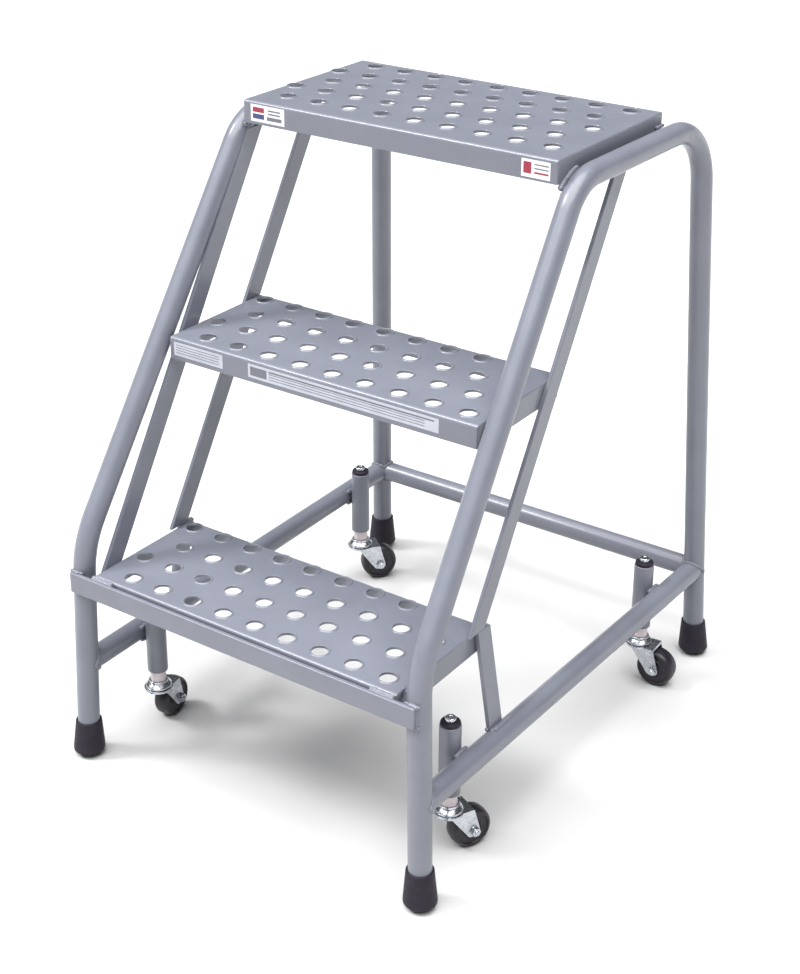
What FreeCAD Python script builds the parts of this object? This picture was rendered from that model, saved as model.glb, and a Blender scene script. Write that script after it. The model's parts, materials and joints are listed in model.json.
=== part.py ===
"""Mobile ladder stand: three perforated treads between two bent tube side frames, on spring casters.

Millimetres, +Z up.  X runs across the treads, Y from the front (climbing) side to the rear, and the
origin is on the floor in the middle of the base.  The driving dimensions are cells of the sheet
"Sizes"; each one is also a Size, a number that carries its own expression text, so every sketch
and primitive is bound to the cells that it depends on.
"""
import FreeCAD, Part
import math
import os

import Sketcher

Vec = FreeCAD.Vector
Rot = FreeCAD.Rotation

doc = FreeCAD.newDocument("LadderStand")
sheet = doc.addObject("Spreadsheet::Sheet", "Sizes")


class Size(float):
    """A length, angle or count with the expression that gives it from the sheet's cells."""

    def __new__(cls, value, text=None):
        size = float.__new__(cls, value)
        size.text = text or repr(float(value))
        return size

    @staticmethod
    def _text(other):
        return other.text if isinstance(other, Size) else repr(float(other))

    def _join(self, sign, other, value, swap=False):
        left, right = self.text, self._text(other)
        if swap:
            left, right = right, left
        return Size(value, f"({left} {sign} {right})")

    def __add__(self, other):
        return self._join("+", other, float(self) + float(other))

    def __radd__(self, other):
        return self._join("+", other, float(self) + float(other), swap=True)

    def __sub__(self, other):
        return self._join("-", other, float(self) - float(other))

    def __rsub__(self, other):
        return self._join("-", other, float(other) - float(self), swap=True)

    def __mul__(self, other):
        return self._join("*", other, float(self) * float(other))

    def __rmul__(self, other):
        return self._join("*", other, float(self) * float(other), swap=True)

    def __truediv__(self, other):
        return self._join("/", other, float(self) / float(other))

    def __neg__(self):
        return Size(-float(self), f"(0 - {self.text})")


def tangent(angle):
    return Size(math.tan(math.radians(angle)), f"tan({angle.text})")


def cosine(angle):
    return Size(math.cos(math.radians(angle)), f"cos({angle.text})")


cell_rows = iter(range(1, 200))


def cell(alias, value):
    """Write one driving dimension into the sheet and return it as a Size."""
    row = next(cell_rows)
    sheet.set(f"A{row}", alias)
    sheet.set(f"B{row}", str(value))
    sheet.setAlias(f"B{row}", alias)
    return Size(value, f"Sizes.{alias}")


# ---------------------------------------------------------------- driving dimensions
# treads
tread_width = cell("tread_width", 430.0)
tread_depth = cell("tread_depth", 170.0)
platform_depth = cell("platform_depth", 241.0)
step_rise = cell("step_rise", 254.0)
step_run = cell("step_run", 148.0)
nose_lead = cell("nose_lead", 9.0)  # first tread's front edge ahead of the knee of the tube
sheet_gauge = cell("sheet_gauge", 2.0)
flange_drop = cell("flange_drop", 27.5)
nose_radius = cell("nose_radius", 4.5)
hole_radius = cell("hole_radius", 10.0)
lip_width = cell("lip_width", 2.0)
lip_height = cell("lip_height", 1.2)
hole_pitch = cell("hole_pitch", 45.5)
row_pitch = cell("row_pitch", 45.0)
rear_margin = cell("rear_margin", 12.5)  # rear edge of a lower tread to its last row of holes
platform_margin = cell("platform_margin", 19.5)
side_margin = cell("side_margin", 17.5)  # left edge to the first hole of the last row
platform_side = cell("platform_side", 35.0)
row_shift = cell("row_shift", 22.75)  # every second row is half a pitch to one side
holes_per_row = 9
# side frames
tube_od = cell("tube_od", 27.0)
tube_wall = cell("tube_wall", 2.0)
foot_clearance = cell("foot_clearance", 7.0)  # rubber feet above the floor, on the casters
rail_drop = cell("rail_drop", 24.5)  # top of the platform to the axis of the rail beside it
knee_height = cell("knee_height", 285.0)
slant_reach = cell("slant_reach", 305.0)
rail_reach = cell("rail_reach", 597.0)
front_lean = cell("front_lean", 1.15)
rear_lean = cell("rear_lean", 3.12)
splay = cell("splay", 1.81)  # frames tilt outward towards the floor
toe_out = cell("toe_out", 1.0)  # and open slightly towards the rear
knee_radius = cell("knee_radius", 120.0)
shoulder_radius = cell("shoulder_radius", 65.0)
heel_radius = cell("heel_radius", 75.0)
weld_gap = cell("weld_gap", 0.1)
brace_height = cell("brace_height", 123.0)
bar_bottom = cell("bar_bottom", 228.0)
bar_height = cell("bar_height", 25.4)
bar_gauge = cell("bar_gauge", 5.0)
bar_lap = cell("bar_lap", 5.0)  # past the middle of each front leg
# flat stringers and struts
strip_width = cell("strip_width", 25.0)
strip_gauge = cell("strip_gauge", 5.0)
stringer_slope = cell("stringer_slope", 31.2)  # from the vertical
front_stringer = cell("front_stringer", 24.0)  # behind the knee, at the first tread's top
rear_stringer = cell("rear_stringer", 142.0)
strut_offset = cell("strut_offset", 156.0)
strut_rake = cell("strut_rake", 3.0)
strut_seat = cell("strut_seat", 0.5)  # the strut's top below the first tread's
stringer_lap = cell("stringer_lap", 4.0)  # rear stringer up the side of the rail
# rubber feet
foot_height = cell("foot_height", 42.0)
foot_sole = cell("foot_sole", 8.0)
foot_wall = cell("foot_wall", 2.3)  # outside the tube, at the top
foot_skirt = cell("foot_skirt", 6.3)  # and at the sole
foot_trim = cell("foot_trim", 2.0)  # the cone runs on below the sole before it is cut level
# caster sockets and stems
socket_od = cell("socket_od", 25.4)
socket_wall = cell("socket_wall", 1.65)
socket_length = cell("socket_length", 90.5)
socket_cap = cell("socket_cap", 3.0)
front_socket = cell("front_socket", 93.0)  # behind the knee
rear_socket = cell("rear_socket", 537.0)
stem_radius = cell("stem_radius", 5.5)
rivet_rim = cell("rivet_rim", 1.5)
rivet_height = cell("rivet_height", 3.5)
rivet_gap = cell("rivet_gap", 0.3)
running_fit = cell("running_fit", 0.08)
head_radius = cell("head_radius", 6.5)
head_height = cell("head_height", 5.0)
head_bevel = cell("head_bevel", 1.5)
washer_radius = cell("washer_radius", 11.8)
washer_height = cell("washer_height", 4.5)
washer_bevel = cell("washer_bevel", 1.0)
shoulder_disc = cell("shoulder_disc", 12.0)
shoulder_gap = cell("shoulder_gap", 14.0)  # shoulder disc to the socket at rest
disc_gauge = cell("disc_gauge", 3.0)
collar_radius = cell("collar_radius", 10.0)
bush_height = cell("bush_height", 12.0)
bush_lap = cell("bush_lap", 1.5)
spring_radius = cell("spring_radius", 8.2)
spring_wire = cell("spring_wire", 1.1)
spring_coils = 10
# casters
wheel_radius = cell("wheel_radius", 25.4)
wheel_width = cell("wheel_width", 22.0)
hub_radius = cell("hub_radius", 7.5)
hub_proud = cell("hub_proud", 1.0)
face_depth = cell("face_depth", 2.0)
face_rim = cell("face_rim", 6.5)
face_bevel = cell("face_bevel", 1.0)
tread_shoulder = cell("tread_shoulder", 3.0)
axle_radius = cell("axle_radius", 3.1)
trail = cell("trail", 26.5)
race_radius = cell("race_radius", 16.5)
race_height = cell("race_height", 7.0)
race_bevel = cell("race_bevel", 1.0)
race_crown = cell("race_crown", 4.0)
race_gap = cell("race_gap", 0.5)
fork_plate = cell("fork_plate", 2.5)
fork_gauge = cell("fork_gauge", 2.3)
fork_head = cell("fork_head", 18.0)
wheel_gap = cell("wheel_gap", 1.3)  # wheel to fork, at the side
crown_gap = cell("crown_gap", 1.7)  # and at the top
fork_toe = cell("fork_toe", 7.0)
toe_radius = cell("toe_radius", 6.0)
fork_brow = cell("fork_brow", 4.0)  # the legs run this far past the kingpin
fork_back = cell("fork_back", 1.0)  # and their top stops this far before the axle
nut_radius = cell("nut_radius", 5.8)
nut_height = cell("nut_height", 4.5)
bolt_stub = cell("bolt_stub", 2.0)

# ---------------------------------------------------------------- derived places
base_reach = rail_reach + (3 * step_rise - rail_drop) * tangent(rear_lean)
knee_y = -(base_reach - knee_height * tangent(front_lean)) / 2
nose_y = knee_y - nose_lead
platform_z = 3 * step_rise + foot_clearance
rail_z = platform_z - rail_drop
brace_z = brace_height + foot_clearance
half_spacing = tread_width / 2 + tube_od / 2 + weld_gap
half_spacing = half_spacing + tangent(toe_out) * platform_depth / 2
platform_y = nose_y + 2 * step_run + platform_depth / 2
plate_top = 2 * wheel_radius + crown_gap + fork_plate
disc_bottom = plate_top + race_gap + race_height
LEFT, RIGHT = -1, 1
SIDES = {"left": LEFT, "right": RIGHT}


def frame_rotation(side):
    """Turn from the world axes to the plane of a side frame."""
    toe = Rot(Vec(0, 0, 1), -side * float(toe_out))
    tilt = Rot(Vec(0, 1, 0), -side * float(splay))
    return toe.multiply(tilt)


def frame_placement(side):
    """The side frame's own axes: origin on the rail beside the middle of the platform."""
    origin = Vec(side * float(half_spacing), float(platform_y), float(rail_z))
    return FreeCAD.Placement(origin, frame_rotation(side))


def in_frame(height):
    """A height above the floor as the drop below the rail, measured in the frame's plane."""
    return (height - rail_z) / cosine(splay)


def frame_point(side, along, height):
    """World point on a side frame's mid-plane from its Y and its height above the floor."""
    local = Vec(0, float(along) - float(platform_y), float(in_frame(height)))
    return frame_placement(side).multVec(local)


front_foot_y = knee_y - knee_height * tangent(front_lean)
rear_foot_y = knee_y + base_reach
PATH = (
    (front_foot_y + foot_sole * tangent(front_lean), foot_clearance + foot_sole),
    (knee_y, foot_clearance + knee_height),
    (knee_y + slant_reach, rail_z),
    (knee_y + rail_reach, rail_z),
    (rear_foot_y - foot_sole * tangent(rear_lean), foot_clearance + foot_sole),
)
BENDS = (knee_radius, shoulder_radius, heel_radius)


def leg_axis_y(height, rear):
    """Y of a leg's axis at a height below its bend."""
    if rear:
        return knee_y + rail_reach + (rail_z - height) * tangent(rear_lean)
    return knee_y - (knee_height + foot_clearance - height) * tangent(front_lean)


# ---------------------------------------------------------------- modelling helpers
def body_for(name):
    return doc.addObject("PartDesign::Body", name)


def sketch_on(body, role, name, offset=None):
    """Add a sketch on an origin plane of the body, moved along the plane's normal by offset."""
    sketch = body.newObject("Sketcher::SketchObject", name)
    plane = [item for item in body.Origin.OriginFeatures if item.Role == role][0]
    sketch.AttachmentSupport = (plane, [""])
    sketch.MapMode = "FlatFace"
    if offset is not None:
        sketch.AttachmentOffset = FreeCAD.Placement(Vec(0, 0, float(offset)), Rot())
        sketch.setExpression("AttachmentOffset.Base.z", offset.text)
    return sketch


def pin(sketch, geometry, point, place):
    """Hold one sketch point at a place measured from the sketch's origin."""
    for axis, kind, value in ((-2, "DistanceX", place[0]), (-1, "DistanceY", place[1])):
        if abs(value) < 1e-9:
            sketch.addConstraint(Sketcher.Constraint("PointOnObject", geometry, point, axis))
            continue
        number = sketch.addConstraint(
            Sketcher.Constraint(kind, -1, 1, geometry, point, float(value)))
        if isinstance(value, Size):
            sketch.setExpression(f"Constraints[{number}]", value.text)


def outline(sketch, places):
    """Draw a closed polygon with each corner pinned."""
    corners = [Vec(float(u), float(v), 0) for u, v in places]
    first = None
    for index, corner in enumerate(corners):
        following = corners[(index + 1) % len(corners)]
        line = sketch.addGeometry(Part.LineSegment(corner, following), False)
        first = line if first is None else first
        pin(sketch, line, 1, places[index])
        if index:
            sketch.addConstraint(Sketcher.Constraint("Coincident", line - 1, 2, line, 1))
    sketch.addConstraint(Sketcher.Constraint("Coincident", line, 2, first, 1))


def rectangle(sketch, low, high):
    outline(sketch, (low, (high[0], low[1]), high, (low[0], high[1])))


def circle(sketch, centre, radius):
    middle = Vec(float(centre[0]), float(centre[1]), 0)
    ring = sketch.addGeometry(Part.Circle(middle, Vec(0, 0, 1), float(radius)), False)
    pin(sketch, ring, 3, centre)
    number = sketch.addConstraint(Sketcher.Constraint("Radius", ring, float(radius)))
    sketch.setExpression(f"Constraints[{number}]", radius.text)


def extrude(body, kind, sketch, length, name, symmetric=False, reverse=False):
    """Pad or Pocket a sketch; kind is the feature's type name."""
    feature = body.newObject(f"PartDesign::{kind}", name)
    feature.Profile = sketch
    feature.Length = float(length)
    if isinstance(length, Size):
        feature.setExpression("Length", length.text)
    feature.SideType = "Symmetric" if symmetric else "One side"
    feature.Reversed = reverse
    return feature


def turned(name, places, placement):
    """A turned piece: (radius, height) corners revolved about the body's Z axis."""
    body = body_for(name)
    sketch = sketch_on(body, "XZ_Plane", f"{name}_half")
    outline(sketch, places)
    spin = body.newObject("PartDesign::Revolution", f"{name}_turn")
    spin.Profile = sketch
    spin.ReferenceAxis = (sketch, ["V_Axis"])
    spin.Angle = 360.0
    body.Placement = placement
    return body


def bind(item, **sizes):
    """Set an object's properties and bind those that depend on the sheet."""
    for key, value in sizes.items():
        setattr(item, key, float(value))
        if isinstance(value, Size):
            item.setExpression(key, value.text)
    return item


def cylinder(name, radius, height, placement):
    item = bind(doc.addObject("Part::Cylinder", name), Radius=radius, Height=height)
    item.Placement = placement
    return item


def fuse(name, shapes):
    union = doc.addObject("Part::MultiFuse", name)
    union.Shapes = shapes
    return union


def cut(name, base, tools):
    """Take one or more shapes away from a base."""
    result = doc.addObject("Part::Cut", name)
    result.Base = base
    result.Tool = tools[0] if len(tools) == 1 else fuse(f"{name}_tools", tools)
    return result


def along(start, end):
    """Placement whose Z axis runs from start to end."""
    return FreeCAD.Placement(start, Rot(Vec(0, 0, 1), end - start))


parts = {}


def keep(name, item):
    """Give a finished sub-part its node name."""
    item.Label = name
    parts[name] = item
    return item


# ---------------------------------------------------------------- side frames
def bent_path(body, name):
    """The bent tube's centre line: straight runs through the corners, joined by tangent arcs."""
    sketch = sketch_on(body, "YZ_Plane", name)
    corners = [(y - platform_y, in_frame(z)) for y, z in PATH]
    flat = [Vec(float(u), float(v), 0) for u, v in corners]
    starts, arcs = [flat[0]], []
    for index, radius in enumerate(BENDS, start=1):
        before = (flat[index - 1] - flat[index]).normalize()
        after = (flat[index + 1] - flat[index]).normalize()
        half = before.getAngle(after) / 2
        reach = float(radius) / math.tan(half)
        centre = flat[index] + (before + after).normalize() * (float(radius) / math.sin(half))
        nearest = centre + (flat[index] - centre).normalize() * float(radius)
        enter, leave = flat[index] + before * reach, flat[index] + after * reach
        arcs.append(Part.Arc(enter, nearest, leave))
        starts += [enter, leave]
    starts.append(flat[-1])
    lines = [sketch.addGeometry(Part.LineSegment(starts[2 * i], starts[2 * i + 1]), False)
             for i in range(len(flat) - 1)]
    marks = [sketch.addGeometry(Part.Point(point), True) for point in flat[1:-1]]
    for mark, corner in zip(marks, corners[1:-1]):
        pin(sketch, mark, 1, corner)
    pin(sketch, lines[0], 1, corners[0])
    pin(sketch, lines[-1], 2, corners[-1])
    for index, mark in enumerate(marks):
        for line in lines[index:index + 2]:
            sketch.addConstraint(Sketcher.Constraint("PointOnObject", mark, 1, line))
    for index, (arc, radius) in enumerate(zip(arcs, BENDS)):
        bend = sketch.addGeometry(arc, False)
        enters = (sketch.getPoint(bend, 1) - starts[2 * index + 1]).Length < 1e-3
        ends = (1, 2) if enters else (2, 1)
        for line, line_end, bend_end in ((lines[index], 2, ends[0]), (lines[index + 1], 1, ends[1])):
            sketch.addConstraint(Sketcher.Constraint("Tangent", line, line_end, bend, bend_end))
        number = sketch.addConstraint(Sketcher.Constraint("Radius", bend, float(radius)))
        sketch.setExpression(f"Constraints[{number}]", radius.text)
    return sketch


def pipe(body, kind, name, spine, radius):
    """Sweep a circle of one radius along the bent centre line."""
    y_start, z_start = PATH[0]
    profile = sketch_on(body, "XY_Plane", f"{name}_ring", in_frame(z_start))
    circle(profile, (0.0, y_start - platform_y), radius)
    sweep = body.newObject(f"PartDesign::{kind}", name)
    sweep.Profile = profile
    sweep.Spine = (spine, [f"Edge{n + 1}" for n in range(len(PATH) - 1 + len(BENDS))])
    return sweep


def bent_tube(name, side, radius, bore=None):
    body = body_for(name)
    spine = bent_path(body, f"{name}_path")
    pipe(body, "AdditivePipe", f"{name}_tube", spine, radius)
    if bore is not None:
        pipe(body, "SubtractivePipe", f"{name}_bore", spine, bore)
    body.Placement = frame_placement(side)
    return body


frame_cores = {}
for side_name, side in SIDES.items():
    keep(f"side_frame_{side_name}",
         bent_tube(f"frame_{side_name}", side, tube_od / 2, tube_od / 2 - tube_wall))
    frame_cores[side_name] = bent_tube(f"core_{side_name}", side, tube_od / 2 + weld_gap)


# ---------------------------------------------------------------- braces
def straight_tube(name, start, end, radius, bore, cutters):
    """A tube between two points, coped around the tubes that it is welded to."""
    length = (end - start).Length
    outer = cylinder(f"{name}_outer", radius, length, along(start, end))
    inner = cylinder(f"{name}_bore", bore, length, along(start, end))
    return cut(name, outer, [inner] + cutters)


brace_cores = {}
rear_ends = {side: frame_point(side, leg_axis_y(brace_z, True), brace_z) for side in (LEFT, RIGHT)}
cross_length = (rear_ends[RIGHT] - rear_ends[LEFT]).Length
cross_core = cylinder("cross_core", tube_od / 2 + weld_gap, cross_length,
                      along(rear_ends[LEFT], rear_ends[RIGHT]))
for side_name, side in SIDES.items():
    near = frame_point(side, leg_axis_y(brace_z, False), brace_z)
    core = cylinder(f"brace_core_{side_name}", tube_od / 2 + weld_gap,
                    (rear_ends[side] - near).Length, along(near, rear_ends[side]))
    brace_cores[side_name] = core
    keep(f"side_brace_{side_name}",
         straight_tube(f"brace_{side_name}", near, rear_ends[side], tube_od / 2,
                       tube_od / 2 - tube_wall, [frame_cores[side_name], cross_core]))
keep("rear_cross_tube",
     straight_tube("cross", rear_ends[LEFT], rear_ends[RIGHT], tube_od / 2,
                   tube_od / 2 - tube_wall, list(frame_cores.values())))

# front bar, flat against the front of both front legs
bar_low = bar_bottom + foot_clearance
bar_spot = frame_point(RIGHT, leg_axis_y(bar_low, False), bar_low)
bar_end = bar_spot.x + float(bar_lap)
bar_back = bar_spot.y - float(tube_od / 2 + weld_gap)
front_bar = bind(doc.addObject("Part::Box", "front_bar_box"),
                 Length=2 * bar_end, Width=bar_gauge, Height=bar_height)
front_bar.Placement.Base = Vec(-bar_end, bar_back - float(bar_gauge), float(bar_low))
keep("front_bar", front_bar)


# ---------------------------------------------------------------- treads
def perforated_rows(body, name, rows, first_x):
    """Raised lips and holes for rows of one phase, repeated across the tread."""
    occurrences = holes_per_row
    reach = (occurrences - 1) * hole_pitch
    for kind, radius, length in (("Pad", hole_radius + lip_width, lip_height),
                                 ("Pocket", hole_radius, 3 * (sheet_gauge + lip_height))):
        offset = lip_height if kind == "Pocket" else None
        sketch = sketch_on(body, "XY_Plane", f"{name}_{kind}_rings", offset)
        for row in rows:
            circle(sketch, (first_x, row), radius)
        feature = extrude(body, kind, sketch, length, f"{name}_{kind}")
        doc.recompute()
        pattern = body.newObject("PartDesign::LinearPattern", f"{name}_{kind}_row")
        pattern.Originals = [feature]
        pattern.Direction = (sketch, ["H_Axis"])
        pattern.Length = float(reach)
        pattern.setExpression("Length", reach.text)
        pattern.Occurrences = occurrences
        body.Tip = pattern
        doc.recompute()


def tread(name, level, depth, rows, margin, side_gap):
    """A pressed pan: flat top with a rounded nose, flanges all round, staggered raised holes."""
    body = body_for(name)
    half = tread_width / 2
    top = sketch_on(body, "XY_Plane", f"{name}_plan")
    rectangle(top, (-half, 0.0), (half, depth))
    extrude(body, "Pad", top, flange_drop, f"{name}_blank", reverse=True)
    doc.recompute()
    blank = body.Tip
    nose = [f"Edge{n}" for n, edge in enumerate(blank.Shape.Edges, start=1)
            if abs(edge.CenterOfMass.y) < 1e-6 and abs(edge.CenterOfMass.z) < 1e-6]
    rounding = body.newObject("PartDesign::Fillet", f"{name}_nose")
    rounding.Base = (blank, nose)
    bind(rounding, Radius=nose_radius)
    inside = sketch_on(body, "XY_Plane", f"{name}_inside", -flange_drop)
    rectangle(inside, (sheet_gauge - half, sheet_gauge), (half - sheet_gauge, depth - sheet_gauge))
    hollow = extrude(body, "Pocket", inside, flange_drop - sheet_gauge, f"{name}_hollow",
                     reverse=True)
    doc.recompute()
    under = [f"Edge{n}" for n, edge in enumerate(hollow.Shape.Edges, start=1)
             if abs(edge.CenterOfMass.y - sheet_gauge) < 1e-6
             and abs(edge.CenterOfMass.z + sheet_gauge) < 1e-6]
    softened = body.newObject("PartDesign::Fillet", f"{name}_inner_nose")
    softened.Base = (hollow, under)
    bind(softened, Radius=nose_radius - sheet_gauge)
    doc.recompute()
    places = [depth - margin - row * row_pitch for row in range(rows)]
    perforated_rows(body, f"{name}_even", places[0::2], side_gap - half)
    perforated_rows(body, f"{name}_odd", places[1::2], side_gap - half + stagger[name])
    body.Placement.Base = Vec(0, float(nose_y + (level - 1) * step_run),
                              float(level * step_rise + foot_clearance))
    body.setExpression("Placement.Base.z", (level * step_rise + foot_clearance).text)
    return keep(name, body)


stagger = {"tread_lower": row_shift, "tread_middle": row_shift, "tread_platform": -row_shift}
tread("tread_lower", 1, tread_depth, 4, rear_margin, side_margin)
tread("tread_middle", 2, tread_depth, 4, rear_margin, side_margin)
tread("tread_platform", 3, platform_depth, 5, platform_margin, platform_side)


# ---------------------------------------------------------------- flat stringers and struts
def strip_pad(name, side, centre, low, high):
    """A flat bar on edge against the treads' side flanges, with both ends cut level."""
    body = body_for(name)
    outer = side * (tread_width / 2 + weld_gap)
    sketch = sketch_on(body, "YZ_Plane", f"{name}_side", outer)
    first_top = step_rise + foot_clearance
    half = strip_width / cosine(stringer_slope) / 2
    low_y = centre + (low - first_top) * tangent(stringer_slope)
    high_y = centre + (high - first_top) * tangent(stringer_slope)
    outline(sketch, ((low_y - half, low), (low_y + half, low),
                     (high_y + half, high), (high_y - half, high)))
    extrude(body, "Pad", sketch, strip_gauge, f"{name}_bar", reverse=side == LEFT)
    return body


def stringer(name, side_name, centre, low, high):
    """A stringer trimmed where it meets the bent tube."""
    bar = strip_pad(f"{name}_blank", SIDES[side_name], centre, low, high)
    return keep(name, cut(f"{name}_trim", bar, [frame_cores[side_name]]))


first_flange = step_rise + foot_clearance - flange_drop
for side_name in SIDES:
    stringer(f"front_stringer_{side_name}", side_name, knee_y + front_stringer, first_flange,
             rail_z - tube_od / 2)
    stringer(f"rear_stringer_{side_name}", side_name, knee_y + rear_stringer,
             step_rise + foot_clearance + weld_gap, rail_z - tube_od / 2 + stringer_lap)


def strut(name, side_name):
    """A short flat bar from the first tread's rear corner down and out to the side brace."""
    side = SIDES[side_name]
    top = Vec(side * float(tread_width / 2 + weld_gap + strip_gauge / 2),
              float(knee_y + strut_offset), float(step_rise + foot_clearance - strut_seat))
    foot = frame_point(side, knee_y + strut_offset, brace_z)
    foot -= Vec(side * float(strip_gauge), float(strut_rake), 0)
    bar = bind(doc.addObject("Part::Box", f"{name}_bar"), Length=strip_gauge,
               Width=strip_width, Height=(top - foot).Length)
    turn = Rot(Vec(), Vec(0, 1, 0), foot - top, "ZYX")
    offset = turn.multVec(Vec(-float(strip_gauge) / 2, -float(strip_width) / 2, 0))
    bar.Placement = FreeCAD.Placement(top + offset, turn)
    return keep(name, cut(f"{name}_trim", bar, [brace_cores[side_name], frame_cores[side_name]]))


for side_name in SIDES:
    strut(f"strut_{side_name}", side_name)


# ---------------------------------------------------------------- rubber feet
def rubber_foot(name, side_name, rear):
    """A tapered rubber cup on a leg's end, with its sole cut level."""
    side = SIDES[side_name]
    seat = foot_sole - tube_od / 2 * tangent(rear_lean) - weld_gap
    sole_z, top_z = foot_clearance, foot_clearance + foot_height
    low = frame_point(side, leg_axis_y(sole_z, rear), sole_z)
    high = frame_point(side, leg_axis_y(top_z, rear), top_z)
    axis = (high - low).normalize()
    start = low - axis * float(foot_trim)
    foot_base = tube_od / 2 + foot_skirt
    cone = bind(doc.addObject("Part::Cone", f"{name}_cup"), Radius1=foot_base,
                Radius2=tube_od / 2 + foot_wall, Height=foot_height + foot_trim)
    cone.Placement = along(start, high)
    bore = cylinder(f"{name}_bore", tube_od / 2 + weld_gap, 2 * foot_height,
                    along(low + axis * float(seat), high))
    below = bind(doc.addObject("Part::Box", f"{name}_below"), Length=4 * foot_base,
                 Width=4 * foot_base, Height=foot_clearance)
    below.Placement.Base = Vec(low.x - 2 * foot_base, low.y - 2 * foot_base, 0)
    return keep(name, cut(f"{name}_trim", cone, [bore, below]))


CORNERS = {"front_left": ("left", False), "front_right": ("right", False),
           "rear_left": ("left", True), "rear_right": ("right", True)}
for corner, (side_name, rear) in CORNERS.items():
    rubber_foot(f"foot_{corner}", side_name, rear)

# ---------------------------------------------------------------- spring casters
disc_top = disc_bottom + disc_gauge
socket_bottom = disc_top + shoulder_gap
socket_top = socket_bottom + socket_length
socket_bore = socket_od / 2 - socket_wall
bush_top = socket_bottom + bush_height
SWIVELS = {"front_left": 99.0, "front_right": 64.0, "rear_left": 50.0, "rear_right": 4.0}


def socket(name, place):
    """A tube with a drilled cap, welded to the inner side of the side brace."""
    hole = stem_radius + running_fit
    return turned(name, (
        (socket_bore, socket_bottom), (socket_od / 2, socket_bottom), (socket_od / 2, socket_top),
        (hole, socket_top), (hole, socket_top - socket_cap), (socket_bore, socket_top - socket_cap),
    ), place)


def stem(name, place):
    """The sprung stem: kingpin head, shoulder disc, shank and retaining head in one turning."""
    rivet_top = plate_top - fork_plate - rivet_gap
    rivet_low = rivet_top - rivet_height
    rivet = stem_radius + rivet_rim
    head_low = socket_top + washer_height + 2 * weld_gap
    head_top = head_low + head_height
    return turned(name, (
        (0.0, rivet_low), (rivet, rivet_low), (rivet, rivet_top),
        (stem_radius, rivet_top), (stem_radius, disc_bottom), (shoulder_disc, disc_bottom),
        (shoulder_disc, disc_top), (stem_radius, disc_top),
        (stem_radius, head_low), (head_radius, head_low), (head_radius, head_top - head_bevel),
        (head_radius - head_bevel, head_top), (0.0, head_top),
    ), place)


def stop_washer(name, place):
    low = socket_top + weld_gap
    high = low + washer_height
    return turned(name, (
        (stem_radius + weld_gap, low), (washer_radius, low), (washer_radius, high - washer_bevel),
        (washer_radius - washer_bevel, high), (stem_radius + weld_gap, high),
    ), place)


def guide_bush(name, place):
    """Nylon bush on the stem: it guides the stem in the socket and carries the spring."""
    inner = stem_radius + weld_gap
    guide = socket_bore - running_fit
    neck = disc_top + weld_gap
    lap = socket_bottom + bush_lap
    return turned(name, (
        (inner, neck), (collar_radius, neck), (collar_radius, lap),
        (guide, lap), (guide, bush_top), (inner, bush_top),
    ), place)


def race_cup(name, place):
    """Upper ball race, rolled over the fork plate."""
    low = plate_top + race_gap
    high = disc_bottom - weld_gap
    return turned(name, (
        (stem_radius + weld_gap, low), (race_radius - race_bevel, low),
        (race_radius, low + race_bevel), (race_radius, high - race_crown),
        (race_radius - race_crown, high), (stem_radius + weld_gap, high),
    ), place)


def spring(name, place):
    """Compression spring between the bush and the socket's cap."""
    low = bush_top + spring_wire + weld_gap
    high = socket_top - socket_cap - spring_wire - weld_gap
    height = high - low
    helix = bind(doc.addObject("Part::Helix", f"{name}_helix"), Radius=spring_radius,
                 Height=height, Pitch=height / spring_coils)
    helix.Placement.Base = Vec(0, 0, float(low))
    wire = bind(doc.addObject("Part::Circle", f"{name}_wire"), Radius=spring_wire)
    wire.Placement = FreeCAD.Placement(Vec(float(spring_radius), 0, float(low)),
                                       Rot(Vec(1, 0, 0), 90))
    coil = doc.addObject("Part::Sweep", f"{name}_coil")
    coil.Sections = [wire]
    coil.Spine = (helix, [])
    coil.Solid = True
    coil.Frenet = True
    coil.Placement = place
    return coil


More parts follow.
